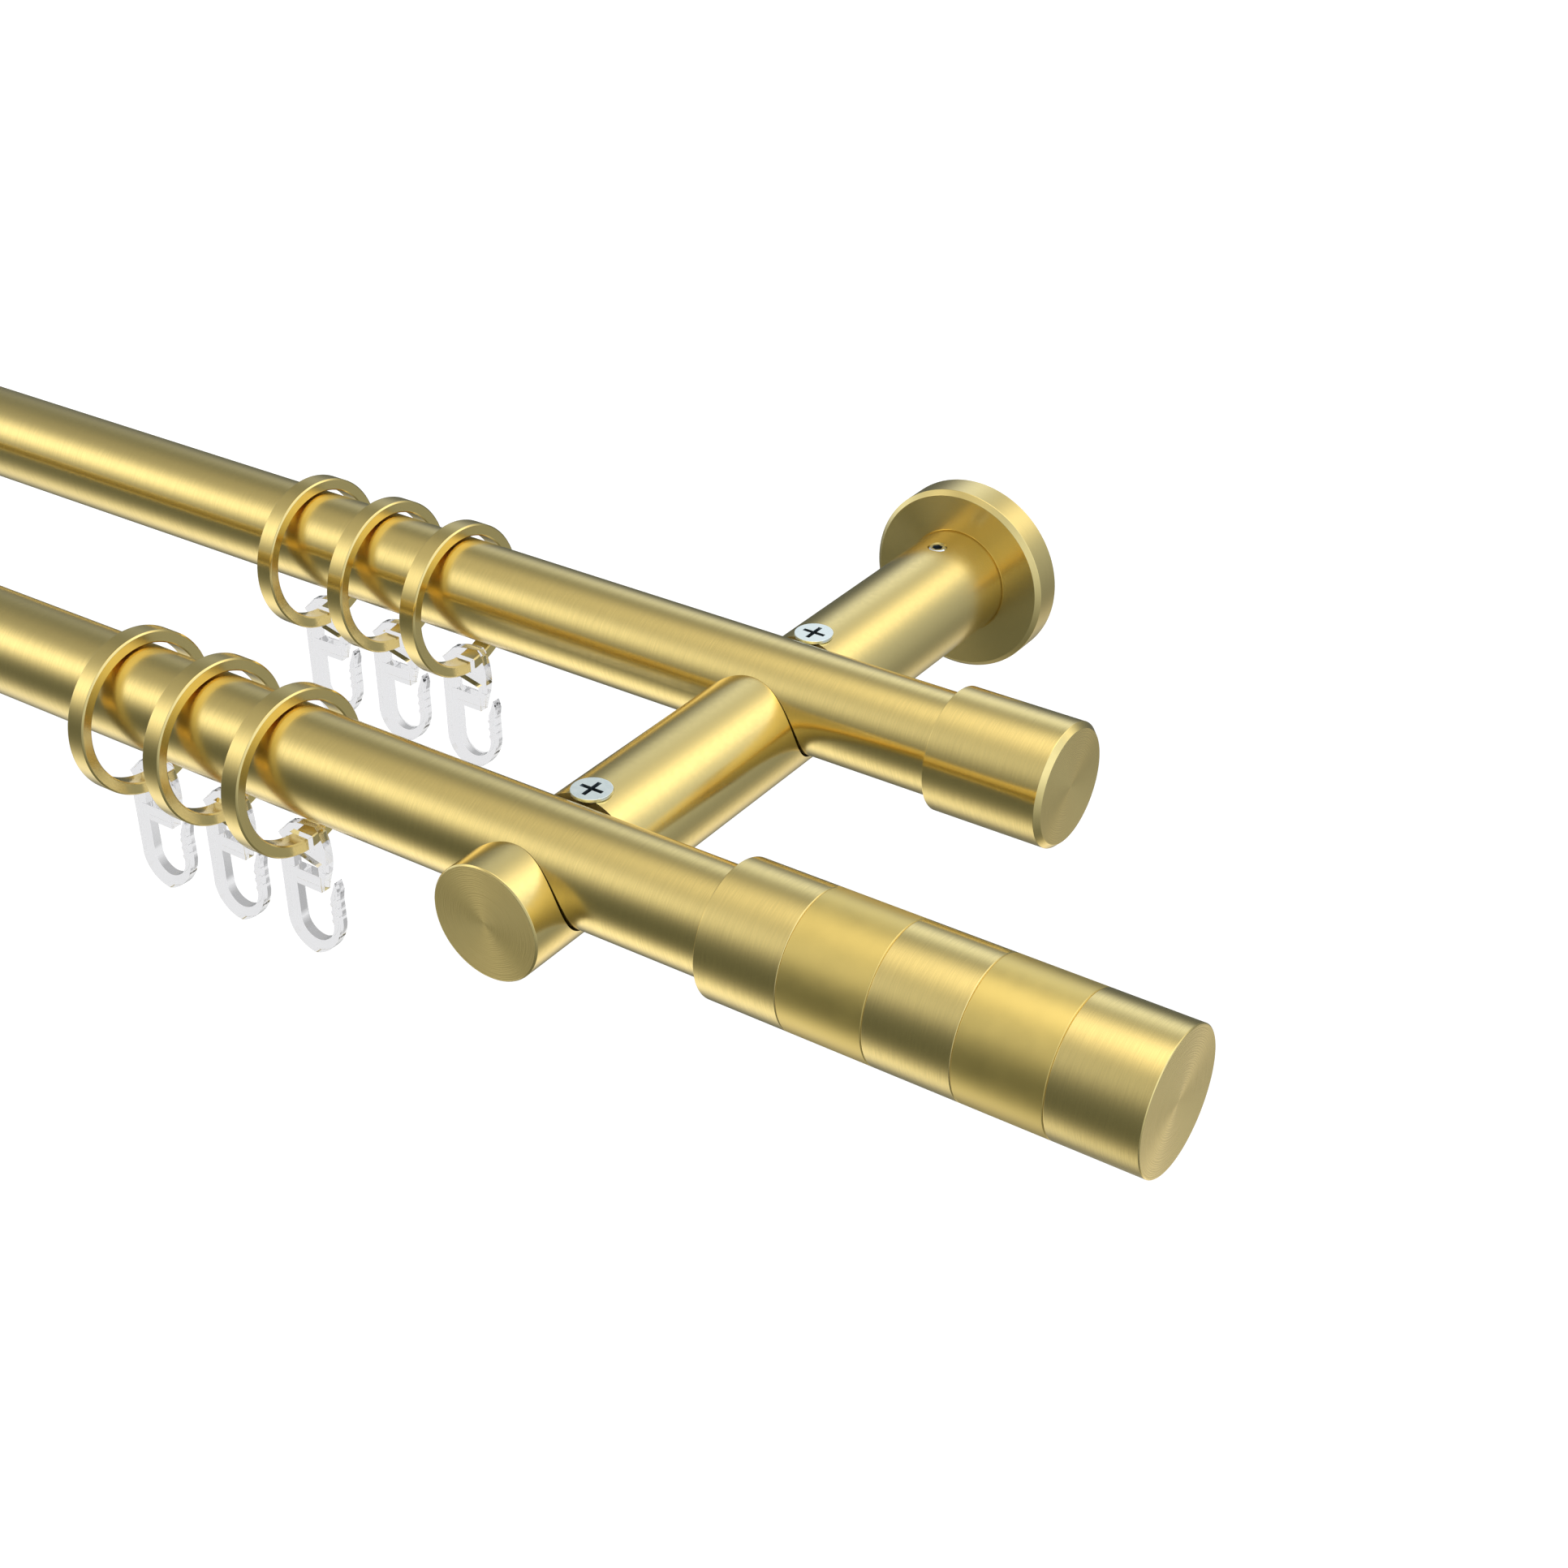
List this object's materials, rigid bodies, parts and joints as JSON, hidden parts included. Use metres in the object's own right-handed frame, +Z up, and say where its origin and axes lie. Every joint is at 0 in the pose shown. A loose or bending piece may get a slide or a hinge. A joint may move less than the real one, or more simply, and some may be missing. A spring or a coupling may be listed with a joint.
{
  "type": "double curtain rod",
  "caption": "Two-run curtain rod with wall brackets, a banded front finial, plain rear end caps, and sliding rings with clear pleat hooks.",
  "frame": {"origin": "on the wall plane, midway between the two brackets and at the height of their arms", "axes": "+X along the two tubes, +Y into the wall, +Z up"},
  "size_m": [1.32, 0.162, 0.059],
  "materials": {
    "brushed_brass": "brushed round the axis",
    "satin_brass": "smooth satin",
    "zinc_plate": "bright zinc plate",
    "bright_steel": "bright",
    "clear_plastic": "clear moulded plastic"
  },
  "bodies": {
    "fixed_rod_set": {"front_rod": "brushed_brass", "left_arm_grub_screw": "bright_steel", "left_bracket_arm": "brushed_brass", "left_end_cap": "brushed_brass", "left_end_cap_grub_screw": "bright_steel", "left_finial_band_1": "brushed_brass", "left_finial_band_2": "satin_brass", "left_finial_band_3": "brushed_brass", "left_finial_band_4": "satin_brass", "left_finial_band_5": "brushed_brass", "left_finial_core": "brushed_brass", "left_finial_grub_screw": "bright_steel", "left_front_clamp_screw": "zinc_plate", "left_rear_clamp_screw": "zinc_plate", "left_rosette": "brushed_brass", "left_wall_plate": "bright_steel", "rear_rod": "brushed_brass", "right_arm_grub_screw": "bright_steel", "right_bracket_arm": "brushed_brass", "right_end_cap": "brushed_brass", "right_end_cap_grub_screw": "bright_steel", "right_finial_band_1": "brushed_brass", "right_finial_band_2": "satin_brass", "right_finial_band_3": "brushed_brass", "right_finial_band_4": "satin_brass", "right_finial_band_5": "brushed_brass", "right_finial_core": "brushed_brass", "right_finial_grub_screw": "bright_steel", "right_front_clamp_screw": "zinc_plate", "right_rear_clamp_screw": "zinc_plate", "right_rosette": "brushed_brass", "right_wall_plate": "bright_steel"},
    "right_front_ring_1": {"right_front_ring_1": "brushed_brass"},
    "right_front_hook_1": {"right_front_hook_1": "clear_plastic"},
    "right_front_ring_2": {"right_front_ring_2": "brushed_brass"},
    "right_front_hook_2": {"right_front_hook_2": "clear_plastic"},
    "right_front_ring_3": {"right_front_ring_3": "brushed_brass"},
    "right_front_hook_3": {"right_front_hook_3": "clear_plastic"},
    "right_rear_ring_1": {"right_rear_ring_1": "brushed_brass"},
    "right_rear_hook_1": {"right_rear_hook_1": "clear_plastic"},
    "right_rear_ring_2": {"right_rear_ring_2": "brushed_brass"},
    "right_rear_hook_2": {"right_rear_hook_2": "clear_plastic"},
    "right_rear_ring_3": {"right_rear_ring_3": "brushed_brass"},
    "right_rear_hook_3": {"right_rear_hook_3": "clear_plastic"},
    "left_front_ring_1": {"left_front_ring_1": "brushed_brass"},
    "left_front_hook_1": {"left_front_hook_1": "clear_plastic"},
    "left_front_ring_2": {"left_front_ring_2": "brushed_brass"},
    "left_front_hook_2": {"left_front_hook_2": "clear_plastic"},
    "left_front_ring_3": {"left_front_ring_3": "brushed_brass"},
    "left_front_hook_3": {"left_front_hook_3": "clear_plastic"},
    "left_rear_ring_1": {"left_rear_ring_1": "brushed_brass"},
    "left_rear_hook_1": {"left_rear_hook_1": "clear_plastic"},
    "left_rear_ring_2": {"left_rear_ring_2": "brushed_brass"},
    "left_rear_hook_2": {"left_rear_hook_2": "clear_plastic"},
    "left_rear_ring_3": {"left_rear_ring_3": "brushed_brass"},
    "left_rear_hook_3": {"left_rear_hook_3": "clear_plastic"}
  },
  "joints": [
    {"name": "right_front_ring_1_slide", "type": "slide", "parent": "fixed_rod_set", "child": "right_front_ring_1", "axis": [1, 0, 0], "range_m": [-0.13, 0.046]},
    {"name": "right_front_hook_1_swing", "type": "hinge", "parent": "right_front_ring_1", "child": "right_front_hook_1", "pos_m": [0.48, -0.145, 0.0013], "axis": [1, 0, 0], "range_deg": [-15, 15]},
    {"name": "right_front_ring_2_slide", "type": "slide", "parent": "right_front_ring_1", "child": "right_front_ring_2", "axis": [1, 0, 0], "range_m": [-0.13, 0.0055]},
    {"name": "right_front_hook_2_swing", "type": "hinge", "parent": "right_front_ring_2", "child": "right_front_hook_2", "pos_m": [0.46, -0.145, 0.0013], "axis": [1, 0, 0], "range_deg": [-15, 15]},
    {"name": "right_front_ring_3_slide", "type": "slide", "parent": "right_front_ring_2", "child": "right_front_ring_3", "axis": [1, 0, 0], "range_m": [-0.13, 0.0055]},
    {"name": "right_front_hook_3_swing", "type": "hinge", "parent": "right_front_ring_3", "child": "right_front_hook_3", "pos_m": [0.44, -0.145, 0.0013], "axis": [1, 0, 0], "range_deg": [-15, 15]},
    {"name": "right_rear_ring_1_slide", "type": "slide", "parent": "fixed_rod_set", "child": "right_rear_ring_1", "axis": [1, 0, 0], "range_m": [-0.13, 0.066]},
    {"name": "right_rear_hook_1_swing", "type": "hinge", "parent": "right_rear_ring_1", "child": "right_rear_hook_1", "pos_m": [0.46, -0.075, 0.0013], "axis": [1, 0, 0], "range_deg": [-15, 15]},
    {"name": "right_rear_ring_2_slide", "type": "slide", "parent": "right_rear_ring_1", "child": "right_rear_ring_2", "axis": [1, 0, 0], "range_m": [-0.13, 0.0055]},
    {"name": "right_rear_hook_2_swing", "type": "hinge", "parent": "right_rear_ring_2", "child": "right_rear_hook_2", "pos_m": [0.44, -0.075, 0.0013], "axis": [1, 0, 0], "range_deg": [-15, 15]},
    {"name": "right_rear_ring_3_slide", "type": "slide", "parent": "right_rear_ring_2", "child": "right_rear_ring_3", "axis": [1, 0, 0], "range_m": [-0.13, 0.0055]},
    {"name": "right_rear_hook_3_swing", "type": "hinge", "parent": "right_rear_ring_3", "child": "right_rear_hook_3", "pos_m": [0.42, -0.075, 0.0013], "axis": [1, 0, 0], "range_deg": [-15, 15]},
    {"name": "left_front_ring_1_slide", "type": "slide", "parent": "fixed_rod_set", "child": "left_front_ring_1", "axis": [-1, 0, 0], "range_m": [-0.13, 0.046]},
    {"name": "left_front_hook_1_swing", "type": "hinge", "parent": "left_front_ring_1", "child": "left_front_hook_1", "pos_m": [-0.48, -0.145, 0.0013], "axis": [1, 0, 0], "range_deg": [-15, 15]},
    {"name": "left_front_ring_2_slide", "type": "slide", "parent": "left_front_ring_1", "child": "left_front_ring_2", "axis": [-1, 0, 0], "range_m": [-0.13, 0.0055]},
    {"name": "left_front_hook_2_swing", "type": "hinge", "parent": "left_front_ring_2", "child": "left_front_hook_2", "pos_m": [-0.46, -0.145, 0.0013], "axis": [1, 0, 0], "range_deg": [-15, 15]},
    {"name": "left_front_ring_3_slide", "type": "slide", "parent": "left_front_ring_2", "child": "left_front_ring_3", "axis": [-1, 0, 0], "range_m": [-0.13, 0.0055]},
    {"name": "left_front_hook_3_swing", "type": "hinge", "parent": "left_front_ring_3", "child": "left_front_hook_3", "pos_m": [-0.44, -0.145, 0.0013], "axis": [1, 0, 0], "range_deg": [-15, 15]},
    {"name": "left_rear_ring_1_slide", "type": "slide", "parent": "fixed_rod_set", "child": "left_rear_ring_1", "axis": [-1, 0, 0], "range_m": [-0.13, 0.066]},
    {"name": "left_rear_hook_1_swing", "type": "hinge", "parent": "left_rear_ring_1", "child": "left_rear_hook_1", "pos_m": [-0.46, -0.075, 0.0013], "axis": [1, 0, 0], "range_deg": [-15, 15]},
    {"name": "left_rear_ring_2_slide", "type": "slide", "parent": "left_rear_ring_1", "child": "left_rear_ring_2", "axis": [-1, 0, 0], "range_m": [-0.13, 0.0055]},
    {"name": "left_rear_hook_2_swing", "type": "hinge", "parent": "left_rear_ring_2", "child": "left_rear_hook_2", "pos_m": [-0.44, -0.075, 0.0013], "axis": [1, 0, 0], "range_deg": [-15, 15]},
    {"name": "left_rear_ring_3_slide", "type": "slide", "parent": "left_rear_ring_2", "child": "left_rear_ring_3", "axis": [-1, 0, 0], "range_m": [-0.13, 0.0055]},
    {"name": "left_rear_hook_3_swing", "type": "hinge", "parent": "left_rear_ring_3", "child": "left_rear_hook_3", "pos_m": [-0.42, -0.075, 0.0013], "axis": [1, 0, 0], "range_deg": [-15, 15]}
  ]
}
